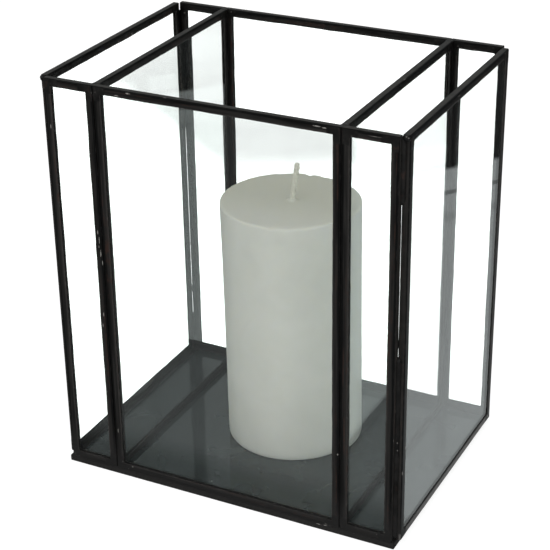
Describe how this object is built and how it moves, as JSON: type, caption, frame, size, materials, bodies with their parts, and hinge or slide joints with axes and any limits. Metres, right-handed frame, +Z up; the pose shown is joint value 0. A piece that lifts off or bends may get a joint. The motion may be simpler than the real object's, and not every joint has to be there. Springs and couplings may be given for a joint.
{
  "type": "candle lantern",
  "caption": "Open-topped rectangular glass lantern: panes edged in black folded channel and soldered together, dark glass floor, two inner partitions, and a loose pillar candle.",
  "frame": {"origin": "middle of the underside, on the surface the lantern stands on", "axes": "+X to the right along the wide front, +Y from the front to the back, +Z up"},
  "size_m": [0.21, 0.149, 0.238],
  "materials": {
    "black_channel": "matt black, worn along the edges",
    "black_solder": "lumpy, blackened",
    "clear_glass": "clear, faint green tint",
    "dark_glass": "near black, polished",
    "candle_wax": "smooth off-white wax",
    "wick_cotton": "waxed cotton braid, not yet lit"
  },
  "bodies": {
    "lantern": {"back_centre_bottom_channel": "black_channel", "back_centre_glass": "clear_glass", "back_centre_left_channel": "black_channel", "back_centre_right_channel": "black_channel", "back_centre_top_channel": "black_channel", "back_left_bottom_channel": "black_channel", "back_left_glass": "clear_glass", "back_left_left_channel": "black_channel", "back_left_right_channel": "black_channel", "back_left_top_channel": "black_channel", "back_right_bottom_channel": "black_channel", "back_right_glass": "clear_glass", "back_right_left_channel": "black_channel", "back_right_right_channel": "black_channel", "back_right_top_channel": "black_channel", "base_back_channel": "black_channel", "base_front_channel": "black_channel", "base_glass": "dark_glass", "base_left_channel": "black_channel", "base_right_channel": "black_channel", "corner_solder_beads": "black_solder", "front_centre_bottom_channel": "black_channel", "front_centre_glass": "clear_glass", "front_centre_left_channel": "black_channel", "front_centre_right_channel": "black_channel", "front_centre_top_channel": "black_channel", "front_left_bottom_channel": "black_channel", "front_left_glass": "clear_glass", "front_left_left_channel": "black_channel", "front_left_right_channel": "black_channel", "front_left_top_channel": "black_channel", "front_right_bottom_channel": "black_channel", "front_right_glass": "clear_glass", "front_right_left_channel": "black_channel", "front_right_right_channel": "black_channel", "front_right_top_channel": "black_channel", "left_partition_back_channel": "black_channel", "left_partition_bottom_channel": "black_channel", "left_partition_front_channel": "black_channel", "left_partition_glass": "clear_glass", "left_partition_top_channel": "black_channel", "left_wall_back_channel": "black_channel", "left_wall_bottom_channel": "black_channel", "left_wall_front_channel": "black_channel", "left_wall_glass": "clear_glass", "left_wall_top_channel": "black_channel", "post_solder_beads": "black_solder", "right_partition_back_channel": "black_channel", "right_partition_bottom_channel": "black_channel", "right_partition_front_channel": "black_channel", "right_partition_glass": "clear_glass", "right_partition_top_channel": "black_channel", "right_wall_back_channel": "black_channel", "right_wall_bottom_channel": "black_channel", "right_wall_front_channel": "black_channel", "right_wall_glass": "clear_glass", "right_wall_top_channel": "black_channel"},
    "candle": {"candle_wax": "candle_wax", "candle_wick": "wick_cotton"}
  },
  "joints": [
    {"name": "candle_lift", "type": "slide", "parent": "lantern", "child": "candle", "axis": [0, 0, 1], "range_m": [0, 0.26]}
  ]
}
